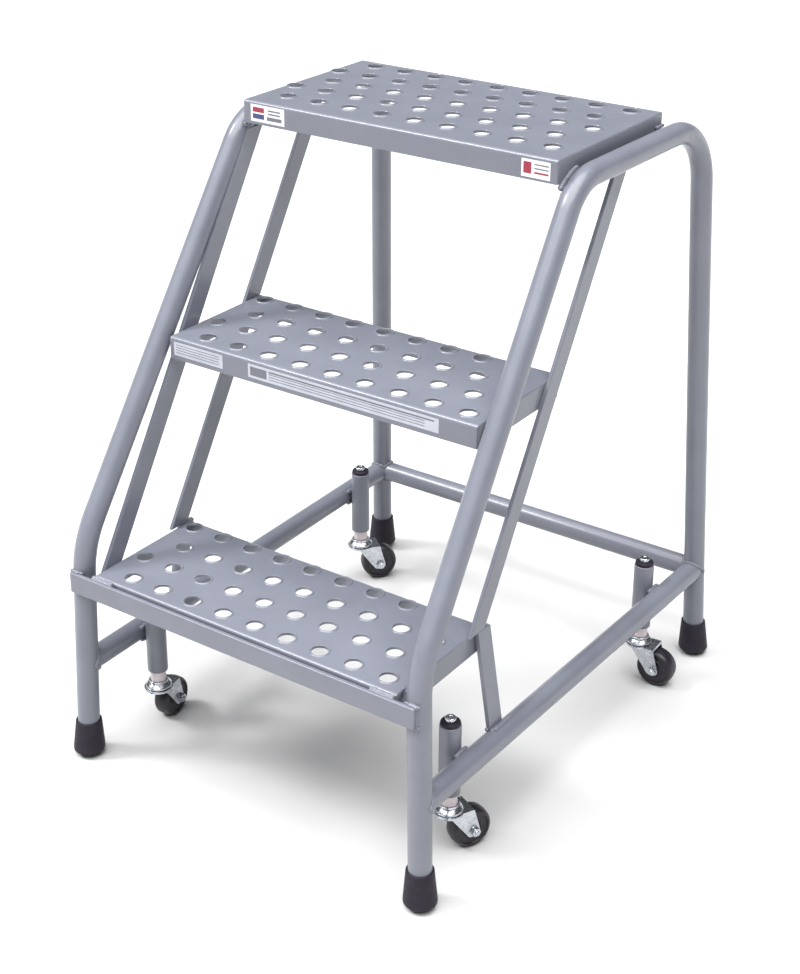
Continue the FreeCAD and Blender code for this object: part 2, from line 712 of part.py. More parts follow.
def fork(name, place):
    """Pressed fork: round head around the kingpin, two tapering legs down to the axle."""
    body = body_for(name)
    outer = wheel_width + 2 * (wheel_gap + fork_gauge)
    under = plate_top - fork_plate
    side_view = sketch_on(body, "XZ_Plane", f"{name}_side")
    outline(side_view, (
        (-fork_brow, plate_top), (-fork_brow, under - fork_brow / 2),
        (trail - fork_toe, wheel_radius - fork_toe), (trail + fork_toe, wheel_radius - fork_toe),
        (trail + fork_toe, wheel_radius), (trail - fork_back, plate_top),
    ))
    extrude(body, "Pad", side_view, outer, f"{name}_legs", symmetric=True)
    head = sketch_on(body, "XY_Plane", f"{name}_head", plate_top)
    circle(head, (0.0, 0.0), fork_head)
    extrude(body, "Pad", head, fork_plate, f"{name}_plate", reverse=True)
    doc.recompute()
    sharp = body.Tip
    corners = [f"Edge{n}" for n, edge in enumerate(sharp.Shape.Edges, start=1)
               if abs(edge.CenterOfMass.z - float(wheel_radius - fork_toe)) < 1e-6
               and abs(edge.CenterOfMass.y) < 1e-6]
    toes = body.newObject("PartDesign::Fillet", f"{name}_toes")
    toes.Base = (sharp, corners)
    bind(toes, Radius=toe_radius)
    inside = sketch_on(body, "XZ_Plane", f"{name}_inside")
    rectangle(inside, (-fork_head * 2, Size(0.0)), (fork_head * 3, under))
    extrude(body, "Pocket", inside, outer - 2 * fork_gauge, f"{name}_throat", symmetric=True)
    pin_hole = sketch_on(body, "XY_Plane", f"{name}_pin", plate_top)
    circle(pin_hole, (0.0, 0.0), stem_radius + running_fit)
    extrude(body, "Pocket", pin_hole, 2 * fork_plate, f"{name}_pin_hole")
    axle = sketch_on(body, "XZ_Plane", f"{name}_axle")
    circle(axle, (trail, wheel_radius), axle_radius + weld_gap)
    extrude(body, "Pocket", axle, 2 * outer, f"{name}_axle_hole", symmetric=True)
    body.Placement = place
    return body


def axle_bolt(name, place):
    """Hexagon bolt through the fork and wheel, with its nut, axis along the wheel's axle."""
    reach = wheel_width / 2 + wheel_gap + fork_gauge + weld_gap
    axle_place = FreeCAD.Placement(Vec(float(trail), 0, float(wheel_radius)), Rot(Vec(1, 0, 0), 90))

    def on_axle(distance):
        return axle_place.multiply(FreeCAD.Placement(Vec(0, 0, float(distance)), Rot()))

    shank = cylinder(f"{name}_shank", axle_radius, 2 * reach + nut_height + bolt_stub, on_axle(-reach))
    pieces = [shank]
    for label, start in (("head", -reach - nut_height), ("nut", reach)):
        hexagon = bind(doc.addObject("Part::Prism", f"{name}_{label}"), Circumradius=nut_radius,
                       Height=nut_height)
        hexagon.Polygon = 6
        hexagon.Placement = on_axle(start)
        pieces.append(hexagon)
    union = fuse(f"{name}_all", pieces)
    union.Placement = place
    return union


def wheel(name, place):
    """Rubber-tyred wheel, turned about its axle."""
    half = wheel_width / 2
    bore = axle_radius + running_fit
    face = half - face_depth
    rim = wheel_radius - face_rim
    profile = [
        (bore, half + hub_proud), (hub_radius, half + hub_proud), (hub_radius, face), (rim, face),
        (rim + face_bevel, half), (wheel_radius - tread_shoulder, half),
        (wheel_radius, half - tread_shoulder),
    ]
    places = profile + [(r, -z) for r, z in reversed(profile)]
    on_axle = FreeCAD.Placement(Vec(float(trail), 0, float(wheel_radius)), Rot(Vec(1, 0, 0), 90))
    return turned(name, places, place.multiply(on_axle))


for corner, (side_name, rear) in CORNERS.items():
    side = SIDES[side_name]
    socket_y = knee_y + (rear_socket if rear else front_socket)
    beside = frame_point(side, socket_y, brace_z)
    inboard = float(tube_od / 2 + socket_od / 2 + weld_gap) / math.cos(math.radians(toe_out))
    axis = Vec(beside.x - side * inboard, beside.y, 0)
    still = FreeCAD.Placement(axis, Rot())
    turned_place = FreeCAD.Placement(axis, Rot(Vec(0, 0, 1), SWIVELS[corner]))
    keep(f"socket_{corner}", socket(f"sock_{corner}", still))
    keep(f"stem_{corner}", stem(f"shank_{corner}", still))
    keep(f"stop_washer_{corner}", stop_washer(f"stop_{corner}", still))
    keep(f"guide_bush_{corner}", guide_bush(f"bush_{corner}", still))
    keep(f"race_cup_{corner}", race_cup(f"race_{corner}", still))
    keep(f"spring_{corner}", spring(f"coil_{corner}", still))
    keep(f"fork_{corner}", fork(f"yoke_{corner}", turned_place))
    keep(f"axle_bolt_{corner}", axle_bolt(f"bolt_{corner}", turned_place))
    keep(f"wheel_{corner}", wheel(f"roller_{corner}", turned_place))

# ---------------------------------------------------------------- checks and export
doc.recompute()
for item in doc.Objects:
    if "Invalid" in item.State or "Error" in item.State:
        raise RuntimeError(f"{item.Name} failed: {item.State}")
os.makedirs("parts", exist_ok=True)
for name, item in parts.items():
    shape = item.Shape
    if shape.isNull() or not shape.isValid() or len(shape.Solids) != 1:
        raise RuntimeError(f"{name}: null, invalid or {len(shape.Solids)} solids")
for name, item in parts.items():
    item.Shape.exportStep(f"parts/{name}.step")
print(len(parts), "sub-parts written")
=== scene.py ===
"""Visual model of a mobile ladder stand: pressed treads on bent tube side frames, with sprung casters.

Every length is written in millimetres and turned into metres where it meets Blender.
"""
import json
import logging
import math
from dataclasses import dataclass, field
from enum import Enum
from typing import Any, Iterable, Sequence

import bmesh
import bpy
from mathutils import Matrix, Vector


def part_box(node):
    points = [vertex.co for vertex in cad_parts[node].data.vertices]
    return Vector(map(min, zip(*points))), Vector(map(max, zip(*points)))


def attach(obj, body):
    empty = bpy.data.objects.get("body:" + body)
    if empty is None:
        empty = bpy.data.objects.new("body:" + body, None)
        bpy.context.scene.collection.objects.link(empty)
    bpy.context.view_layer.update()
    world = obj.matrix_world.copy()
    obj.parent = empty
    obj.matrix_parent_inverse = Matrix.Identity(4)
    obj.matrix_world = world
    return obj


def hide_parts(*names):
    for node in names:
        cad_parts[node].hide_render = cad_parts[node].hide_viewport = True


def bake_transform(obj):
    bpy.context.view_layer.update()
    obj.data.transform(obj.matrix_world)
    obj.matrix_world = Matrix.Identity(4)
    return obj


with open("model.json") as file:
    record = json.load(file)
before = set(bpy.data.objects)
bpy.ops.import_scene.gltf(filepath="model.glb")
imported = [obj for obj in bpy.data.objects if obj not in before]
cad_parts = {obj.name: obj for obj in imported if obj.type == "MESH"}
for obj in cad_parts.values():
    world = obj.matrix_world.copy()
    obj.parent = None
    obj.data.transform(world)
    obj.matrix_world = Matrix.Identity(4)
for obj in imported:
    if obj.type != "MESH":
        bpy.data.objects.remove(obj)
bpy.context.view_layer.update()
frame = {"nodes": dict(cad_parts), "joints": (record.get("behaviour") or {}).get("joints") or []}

log = logging.getLogger("ladder_stand")
MM = 0.001
CREASE = 32.0  # degrees
Point = tuple[float, float, float]
Profile = Sequence[tuple[float, ...]]


class Side(Enum):
    """The two side frames, with the sign of their X."""

    LEFT = -1
    RIGHT = 1


# ------------------------------------------------------------------ nodes and colours
def linear(colour: str) -> tuple[float, float, float, float]:
    """Turn an sRGB hex colour into linear light.

    Args:
        colour: Six hex digits, such as "A3A7B5".

    Returns:
        Red, green, blue and an alpha of one.
    """
    parts = [int(colour[i:i + 2], 16) / 255 for i in (0, 2, 4)]
    red, green, blue = (c / 12.92 if c <= 0.04045 else ((c + 0.055) / 1.055) ** 2.4 for c in parts)
    return red, green, blue, 1.0


def add_node(tree: bpy.types.NodeTree, kind: str, inputs: dict[Any, Any] | None = None,
             **settings: Any) -> bpy.types.Node:
    """Add one node with its settings, values and links.

    Args:
        tree: The node tree that gets the node.
        kind: The node's type name.
        inputs: Input name or number to a value, or to the output socket that feeds it.
        **settings: The node's own properties.

    Returns:
        The new node.
    """
    node = tree.nodes.new(kind)
    for name, value in settings.items():
        setattr(node, name, value)
    for key, value in (inputs or {}).items():
        if isinstance(value, bpy.types.NodeSocket):
            tree.links.new(value, node.inputs[key])
        else:
            node.inputs[key].default_value = value
    return node


@dataclass(frozen=True)
class Finish:
    """A surface finish: colours that drift over the surface, roughness that varies, and a fine relief."""

    name: str
    colour: str  # the clean surface
    shade: str  # the duller patches
    roughness: tuple[float, float]
    drift_mm: float  # size of the colour patches
    grain_mm: float  # spacing of the fine relief
    relief_mm: float  # height of the fine relief
    metallic: float = 0.0
    settings: tuple[tuple[str, float], ...] = ()

    def material(self) -> bpy.types.Material:
        """Return the finish's material, built the first time that it is asked for."""
        made = bpy.data.materials.get(self.name)
        if made is not None:
            return made
        made = bpy.data.materials.new(self.name)
        made.use_nodes = True
        tree = made.node_tree
        tree.nodes.clear()
        place = add_node(tree, "ShaderNodeTexCoord").outputs["Object"]
        drift = add_node(tree, "ShaderNodeTexNoise", {
            "Vector": place, "Scale": 1 / (self.drift_mm * MM), "Detail": 4.0, "Roughness": 0.6})
        grain = add_node(tree, "ShaderNodeTexNoise", {
            "Vector": place, "Scale": 1 / (self.grain_mm * MM), "Detail": 2.0})
        patches = add_node(tree, "ShaderNodeMapRange", {
            "Value": drift.outputs["Fac"], "From Min": 0.35, "From Max": 0.65})
        colour = add_node(tree, "ShaderNodeMix", {
            "Factor": patches.outputs["Result"], 6: linear(self.colour), 7: linear(self.shade)},
            data_type="RGBA")
        gloss = add_node(tree, "ShaderNodeMapRange", {
            "Value": grain.outputs["Fac"], "From Min": 0.3, "From Max": 0.7,
            "To Min": self.roughness[0], "To Max": self.roughness[1]})
        bump = add_node(tree, "ShaderNodeBump", {
            "Height": grain.outputs["Fac"], "Strength": 1.0, "Distance": self.relief_mm * MM})
        surface = add_node(tree, "ShaderNodeBsdfPrincipled", {
            "Base Color": colour.outputs[2], "Roughness": gloss.outputs["Result"],
            "Metallic": self.metallic, "Normal": bump.outputs["Normal"], **dict(self.settings)})
        add_node(tree, "ShaderNodeOutputMaterial", {"Surface": surface.outputs["BSDF"]})
        return made


# Polyester powder coat on steel: baked, satin, with a soft orange-peel skin. The peel's real spacing
# of about 1.5 mm is drawn at 4 mm so that it shows.
POWDER_COAT = Finish("powder_coat_light_grey", "71747F", "6C6F7A", (0.33, 0.42), 55, 4.0, 0.035,
                     settings=(("Coat Weight", 0.3), ("Coat Roughness", 0.18)))
# Zinc-plated pressed steel: bright and cool, with faint clouds from the plating bath.
ZINC_PLATE = Finish("zinc_plated_steel", "D4D7DC", "B4B8BF", (0.18, 0.32), 9, 1.6, 0.012, metallic=1.0)
# Oiled spring wire: dark drawn steel.
SPRING_WIRE = Finish("drawn_spring_steel", "8A8C90", "6E7074", (0.3, 0.45), 12, 1.0, 0.01, metallic=1.0)
# Moulded natural rubber foot: matt black with a bloom that greys it in patches.
FOOT_RUBBER = Finish("moulded_foot_rubber", "19141F", "211B28", (0.5, 0.68), 14, 2.0, 0.05,
                     settings=(("IOR", 1.52), ("Specular IOR Level", 0.3)))
# Hard rubber wheel: smoother than the feet, with a low sheen from the mould.
WHEEL_RUBBER = Finish("hard_wheel_rubber", "17131C", "1F1A25", (0.34, 0.5), 10, 1.8, 0.02,
                      settings=(("IOR", 1.52),))
# Natural nylon: milky, slightly warm, a soft gloss.
NYLON = Finish("natural_nylon", "DCD2D4", "CFC4C8", (0.35, 0.45), 8, 1.5, 0.01,
               settings=(("IOR", 1.53), ("Subsurface Weight", 0.15), ("Subsurface Scale", 0.003)))
# Printed vinyl film: flat white with a slight gloss.
VINYL = Finish("vinyl_film_white", "EDEDF1", "E3E3E9", (0.3, 0.4), 20, 2.0, 0.004)
VINYL_GREY = Finish("vinyl_film_grey", "B9BCC6", "AEB1BC", (0.3, 0.4), 20, 2.0, 0.004)
INK_GREY = Finish("label_ink_grey", "6E7079", "666870", (0.35, 0.45), 20, 2.0, 0.004)
INK_BLUE = Finish("label_ink_blue", "3C4770", "35406A", (0.35, 0.45), 20, 2.0, 0.004)
INK_RED = Finish("label_ink_red", "9B2B42", "90263C", (0.35, 0.45), 20, 2.0, 0.004)


# ------------------------------------------------------------------ mesh making
def shade(mesh: bpy.types.Mesh, sharp: float) -> None:
    """Shade a mesh smooth, with edges that turn by more than an angle in degrees kept crisp."""
    mesh.shade_smooth()
    mesh.set_sharp_from_angle(angle=math.radians(sharp))


def new_piece(name: str, shape: bmesh.types.BMesh, finishes: Sequence[Finish] = (),
              sharp: float = CREASE) -> bpy.types.Object:
    """Turn a bmesh in metres into an object of the scene, shaded smooth up to an angle.

    Args:
        name: The piece's name.
        shape: The mesh, freed here.
        finishes: The finishes of its material slots.
        sharp: Edges that turn by more than this many degrees stay crisp.

    Returns:
        The new object, at the origin.
    """
    mesh = bpy.data.meshes.new(name)
    shape.to_mesh(mesh)
    shape.free()
    for finish in finishes:
        mesh.materials.append(finish.material())
    shade(mesh, sharp)
    piece = bpy.data.objects.new(name, mesh)
    bpy.context.scene.collection.objects.link(piece)
    return piece


def applied(piece: bpy.types.Object) -> bpy.types.Object:
    """Turn an object's modifiers into a plain mesh."""
    bpy.context.view_layer.update()
    graph = bpy.context.evaluated_depsgraph_get()
    mesh = bpy.data.meshes.new_from_object(piece.evaluated_get(graph))
    piece.modifiers.clear()
    piece.data = mesh
    return piece


def baked(piece: bpy.types.Object) -> bpy.types.Object:
    """Apply an object's modifiers into a plain mesh and shade it."""
    mesh = applied(piece).data
    mesh.name = piece.name
    shade(mesh, CREASE)
    return piece


def even_shading(piece: bpy.types.Object) -> bpy.types.Object:
    """Weigh a piece's normals by face area, so that rounded edges leave the flat faces flat."""
    weigh = piece.modifiers.new("even_shading", "WEIGHTED_NORMAL")
    weigh.keep_sharp = True
    weigh.weight = 80
    return applied(piece)


def hand_over(piece: bpy.types.Object, body: str,
              replaced: Iterable[str] = ()) -> None:
    """Attach a finished piece to its body and tell what it stands for.

    Args:
        piece: The finished piece.
        body: The body that it rides on.
        replaced: The CAD nodes that it replaces.
    """
    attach(piece, body)
    if replaced:
        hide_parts(*replaced)
    log.info("%s rides on %s: %d faces", piece.name, body, len(piece.data.polygons))


def filleted(profile: Profile, steps: int = 4) -> list[tuple[float, float]]:
    """Round the corners of a profile.

    Args:
        profile: Corners (radius, height) or (radius, height, fillet radius), in millimetres.
        steps: Segments in each fillet.

    Returns:
        The rounded closed profile's points (radius, height).
    """
    points: list[tuple[float, float]] = []
    for index, corner in enumerate(profile):
        here = Vector(corner[:2])
        if len(corner) < 3:
            points.append((here.x, here.y))
            continue
        before = Vector(profile[index - 1][:2]) - here
        after = Vector(profile[(index + 1) % len(profile)][:2]) - here
        half = before.angle(after) / 2
        reach = min(corner[2] / math.tan(half), before.length * 0.48, after.length * 0.48)
        start, end = here + before.normalized() * reach, here + after.normalized() * reach
        for step in range(steps + 1):
            t = step / steps
            spot = start * (1 - t) ** 2 + here * 2 * t * (1 - t) + end * t ** 2
            points.append((spot.x, spot.y))
    return points


def lathe(profile: Profile, place: Matrix, segments: int = 48) -> bmesh.types.BMesh:
    """Turn a closed profile about an axis.

    Args:
        profile: Corners (radius, height) with optional fillet radii, in millimetres.
        place: Maps the axis frame, in millimetres, to the row frame, in metres.
        segments: Steps around the axis.

    Returns:
        The closed mesh.
    """
    shape = bmesh.new()
    rings = []
    for radius, height in filleted(profile):
        around = range(1 if radius < 1e-6 else segments)
        rings.append([shape.verts.new(place @ Vector((
            radius * math.cos(math.tau * k / segments), radius * math.sin(math.tau * k / segments),
            height))) for k in around])
    for low, high in zip(rings, rings[1:] + rings[:1]):
        for k in range(segments):
            corners = [low[k % len(low)], low[(k + 1) % len(low)],
                       high[(k + 1) % len(high)], high[k % len(high)]]
            distinct = list(dict.fromkeys(corners))
            if len(distinct) > 2:
                shape.faces.new(distinct)
    bmesh.ops.remove_doubles(shape, verts=shape.verts, dist=1e-7)
    bmesh.ops.recalc_face_normals(shape, faces=shape.faces)
    return shape


def prism(outline: Sequence[tuple[float, float]], low: float, high: float,
          place: Matrix) -> bmesh.types.BMesh:
    """Raise an outline into a closed prism.

    Args:
        outline: Corners (u, v) in millimetres.
        low: The height of its base.
        high: The height of its top.
        place: Maps the outline's frame, in millimetres, to the row frame, in metres.

    Returns:
        The closed mesh.
    """
    shape = bmesh.new()
    rings = [[shape.verts.new(place @ Vector((u, v, z))) for u, v in outline] for z in (low, high)]
    shape.faces.new(rings[0][::-1])
    shape.faces.new(rings[1])
    for k in range(len(outline)):
        following = (k + 1) % len(outline)
        shape.faces.new((rings[0][k], rings[0][following], rings[1][following], rings[1][k]))
    bmesh.ops.recalc_face_normals(shape, faces=shape.faces)
    return shape


def joined(shapes: Sequence[bmesh.types.BMesh]) -> bmesh.types.BMesh:
    """Put several meshes into one."""
    whole = bmesh.new()
    for shape in shapes:
        mesh = bpy.data.meshes.new("part")
        shape.to_mesh(mesh)
        shape.free()
        whole.from_mesh(mesh)
        bpy.data.meshes.remove(mesh)
    return whole


def merged_copy(node: str) -> bmesh.types.BMesh:
    """Copy a CAD node's mesh, with its loose triangles merged."""
    shape = bmesh.new()
    shape.from_mesh(frame["nodes"][node].data)
    bmesh.ops.remove_doubles(shape, verts=shape.verts, dist=1e-6)
    for face in shape.faces:
        face.material_index = 0
    return shape


def softened_copy(node: str, width: float, shortest: float, finish: Finish) -> bpy.types.Object:
    """Copy a CAD node's mesh with its long sharp edges slightly rounded.

    Args:
        node: The CAD node.
        width: The width of the rounding, in millimetres.
        shortest: Edges shorter than this, in millimetres, stay as they are.
        finish: The finish of the copy.

    Returns:
        The new piece.
    """
    shape = merged_copy(node)
    bmesh.ops.dissolve_limit(shape, angle_limit=math.radians(1.5), verts=shape.verts,
                             edges=shape.edges)
    sharp = [edge for edge in shape.edges if edge.is_manifold and edge.calc_length() > shortest * MM
             and edge.calc_face_angle(0.0) > math.radians(50)]
    bmesh.ops.bevel(shape, geom=sharp, offset=width * MM, segments=2, profile=0.5,
                    affect="EDGES", clamp_overlap=True)
    return even_shading(new_piece(f"{node}_soft_edged", shape, (finish,), sharp=28))


# ------------------------------------------------------------------ geometry node trees
def node_group(name: str, inputs: Sequence[tuple[str, str]]) -> tuple[Any, Any, dict[str, str]]:
    """Start a geometry node group.

    Args:
        name: The group's name.
        inputs: Names and socket types of its inputs, after the geometry.

    Returns:
        The tree, its Group Input node, and the identifier of each named input.
    """
    tree = bpy.data.node_groups.new(name, "GeometryNodeTree")
    tree.interface.new_socket("Geometry", in_out="INPUT", socket_type="NodeSocketGeometry")
    names = {}
    for label, kind in inputs:
        socket = tree.interface.new_socket(label, in_out="INPUT", socket_type=kind)
        names[label] = socket.identifier
    tree.interface.new_socket("Geometry", in_out="OUTPUT", socket_type="NodeSocketGeometry")
    return tree, add_node(tree, "NodeGroupInput"), names


def end_group(tree: Any, shape: Any, finish: Any) -> None:
    """End a geometry node group: its instances made real, in its finish, as its output."""
    real = add_node(tree, "GeometryNodeRealizeInstances", {"Geometry": shape}).outputs[0]
    dressed = add_node(tree, "GeometryNodeSetMaterial", {"Geometry": real, "Material": finish})
    add_node(tree, "NodeGroupOutput", {"Geometry": dressed.outputs[0]})


def perforation_tree() -> tuple[Any, dict[str, str]]:
    """Build the tree that cuts staggered rows of holes in a tread and sets a rolled lip in each.

    Returns:
        The tree and the identifiers of its inputs.
    """
    number, count = "NodeSocketFloat", "NodeSocketInt"
    tree, start, names = node_group("tread_perforations", (
        ("Pitch", number), ("Row Pitch", number), ("Columns", count), ("Rows", count),
        ("Row Shift", number), ("Middle", "NodeSocketVector"), ("Hole Radius", number),
        ("Cutter Depth", number), ("Lip", "NodeSocketObject"), ("Finish", "NodeSocketMaterial")))
    given = start.outputs
    gaps = [add_node(tree, "ShaderNodeMath", {0: given[label], 1: 1.0}, operation="SUBTRACT").outputs[0]
            for label in ("Columns", "Rows")]
    spans = [add_node(tree, "ShaderNodeMath", {0: gap, 1: given[label]}, operation="MULTIPLY").outputs[0]
             for gap, label in zip(gaps, ("Pitch", "Row Pitch"))]
    grid = add_node(tree, "GeometryNodeMeshGrid", {
        "Size X": spans[0], "Size Y": spans[1], "Vertices X": given["Columns"],
        "Vertices Y": given["Rows"]})
    index = add_node(tree, "GeometryNodeInputIndex").outputs[0]
    row = add_node(tree, "ShaderNodeMath", {0: index, 1: given["Rows"]}, operation="MODULO").outputs[0]
    from_rear = add_node(tree, "ShaderNodeMath", {0: gaps[1], 1: row}, operation="SUBTRACT").outputs[0]
    odd = add_node(tree, "ShaderNodeMath", {0: from_rear, 1: 2.0}, operation="MODULO").outputs[0]
    step = add_node(tree, "ShaderNodeMath", {0: odd, 1: given["Row Shift"]}, operation="MULTIPLY")
    shift = add_node(tree, "ShaderNodeCombineXYZ", {"X": step.outputs[0]}).outputs[0]
    offset = add_node(tree, "ShaderNodeVectorMath", {0: shift, 1: given["Middle"]}, operation="ADD")
    spots = add_node(tree, "GeometryNodeSetPosition", {
        "Geometry": grid.outputs["Mesh"], "Offset": offset.outputs[0]}).outputs[0]
    drill = add_node(tree, "GeometryNodeMeshCylinder", {
        "Vertices": 32, "Radius": given["Hole Radius"], "Depth": given["Cutter Depth"]})
    cutters = add_node(tree, "GeometryNodeInstanceOnPoints", {
        "Points": spots, "Instance": drill.outputs["Mesh"]}).outputs[0]
    solid = add_node(tree, "GeometryNodeRealizeInstances", {"Geometry": cutters}).outputs[0]
    pierced = add_node(tree, "GeometryNodeMeshBoolean", {
        "Mesh 1": given["Geometry"], "Mesh 2": solid}, operation="DIFFERENCE", solver="EXACT")
    lip = add_node(tree, "GeometryNodeObjectInfo", {"Object": given["Lip"]}).outputs["Geometry"]
    lips = add_node(tree, "GeometryNodeInstanceOnPoints", {"Points": spots, "Instance": lip}).outputs[0]
    both = add_node(tree, "GeometryNodeJoinGeometry", {"Geometry": pierced.outputs["Mesh"]})
    tree.links.new(lips, both.inputs["Geometry"])
    end_group(tree, both.outputs[0], given["Finish"])
    return tree, names


def weld_tree() -> tuple[Any, dict[str, str]]:
    """Build the tree that lays overlapping weld ripples along paths.

    Each path point's "bead" attribute is the bead's radius there.

    Returns:
        The tree and the identifiers of its inputs.
    """
    tree, start, names = node_group("weld_ripples", (
        ("Ripple Spacing", "NodeSocketFloat"), ("Seed", "NodeSocketInt"),
        ("Finish", "NodeSocketMaterial")))
    given = start.outputs
    path = add_node(tree, "GeometryNodeMeshToCurve", {"Mesh": given["Geometry"]}).outputs[0]
    spots = add_node(tree, "GeometryNodeResampleCurve", {
        "Curve": path, "Length": given["Ripple Spacing"]}, mode="LENGTH").outputs[0]
    drop = add_node(tree, "GeometryNodeMeshIcoSphere", {"Radius": 1.0, "Subdivisions": 2})
    bead = add_node(tree, "GeometryNodeInputNamedAttribute", {"Name": "bead"}, data_type="FLOAT")
    uneven = add_node(tree, "FunctionNodeRandomValue", {
        "Min": (0.8, 0.8, 0.8), "Max": (1.12, 1.12, 1.12), "Seed": given["Seed"]},
        data_type="FLOAT_VECTOR")
    scale = add_node(tree, "ShaderNodeVectorMath", {
        0: uneven.outputs[0], "Scale": bead.outputs["Attribute"]}, operation="SCALE").outputs[0]
    turn = add_node(tree, "FunctionNodeRandomValue", {
        "Max": (math.tau, math.tau, math.tau), "Seed": given["Seed"]}, data_type="FLOAT_VECTOR")
    drops = add_node(tree, "GeometryNodeInstanceOnPoints", {
        "Points": spots, "Instance": drop.outputs["Mesh"], "Rotation": turn.outputs[0],
        "Scale": scale}).outputs[0]
    end_group(tree, drops, given["Finish"])
    return tree, names


def run_tree(piece: bpy.types.Object, group: tuple[Any, dict[str, str]],
             values: dict[str, Any]) -> bpy.types.Object:
    """Run a geometry node tree on a piece and keep the result as its mesh.

    Args:
        piece: The object that goes in.
        group: The tree and the identifiers of its inputs.
        values: A value for each named input.

    Returns:
        The same object, baked.
    """
    tree, names = group
    modifier = piece.modifiers.new(tree.name, "NODES")
    modifier.node_group = tree
    for label, value in values.items():
        modifier[names[label]] = value
    return baked(piece)


# ------------------------------------------------------------------ the welded frame
@dataclass
class SideFrames:
    """Where the bent tubes run, with the braces and the cross tube."""

    tube_od: float = 27.0
    splay: float = 1.81
    toe_out: float = 1.0
    half_spacing: float = 230.70
    platform_y: float = 91.76
    rail_z: float = 744.5
    knee_y: float = -315.74
    knee_z: float = 292.0
    slant_reach: float = 305.0
    rail_reach: float = 597.0
    shoulder_radius: float = 65.0
    front_lean: float = 1.15
    rear_lean: float = 3.12
    brace_z: float = 130.0

    def point(self, side: Side, along: float, height: float) -> Vector:
        """Place a point on a side frame's mid-plane from its Y and its height."""
        tilt = Matrix.Rotation(-side.value * math.radians(self.splay), 4, "Y")
        toe = Matrix.Rotation(-side.value * math.radians(self.toe_out), 4, "Z")
        drop = (height - self.rail_z) / math.cos(math.radians(self.splay))
        origin = Vector((side.value * self.half_spacing, self.platform_y, self.rail_z))
        return origin + toe @ tilt @ Vector((0, along - self.platform_y, drop))

    def leg_y(self, height: float, rear: bool) -> float:
        """Y of a leg's axis at a height."""
        if rear:
            return (self.knee_y + self.rail_reach
                    + (self.rail_z - height) * math.tan(math.radians(self.rear_lean)))
        return self.knee_y - (self.knee_z - height) * math.tan(math.radians(self.front_lean))

    def leg(self, side: Side, height: float, rear: bool) -> Vector:
        """Point on a leg's axis at a height."""
        return self.point(side, self.leg_y(height, rear), height)

    def dress(self) -> None:
        """Give the tubes, which keep their CAD meshes, the powder coat."""
        for node in ("side_frame_left", "side_frame_right", "side_brace_left", "side_brace_right",
                     "rear_cross_tube"):
            paint(node, POWDER_COAT)


def paint(node: str, finish: Finish) -> None:
    """Give a CAD node that stays in view its finish."""
    shown = frame["nodes"][node]
    if not shown.material_slots:
        shown.data.materials.append(finish.material())
    for slot in shown.material_slots:
        slot.material = finish.material()
    log.info("%s keeps its CAD mesh, in %s", node, finish.name)


@dataclass
class FlatBars:
    """The front bar, the stringers and the struts, rolled flat with soft edges."""

    edge: float = 0.7
    shortest: float = 15.0
    nodes: tuple[str, ...] = (
        "front_bar", "front_stringer_left", "front_stringer_right", "rear_stringer_left",
        "rear_stringer_right", "strut_left", "strut_right")

    def build(self) -> None:
        """Build each bar from its CAD node, with its long edges rounded."""
        for node in self.nodes:
            bar = softened_copy(node, self.edge, self.shortest, POWDER_COAT)
            hand_over(bar, "frame", (node,))


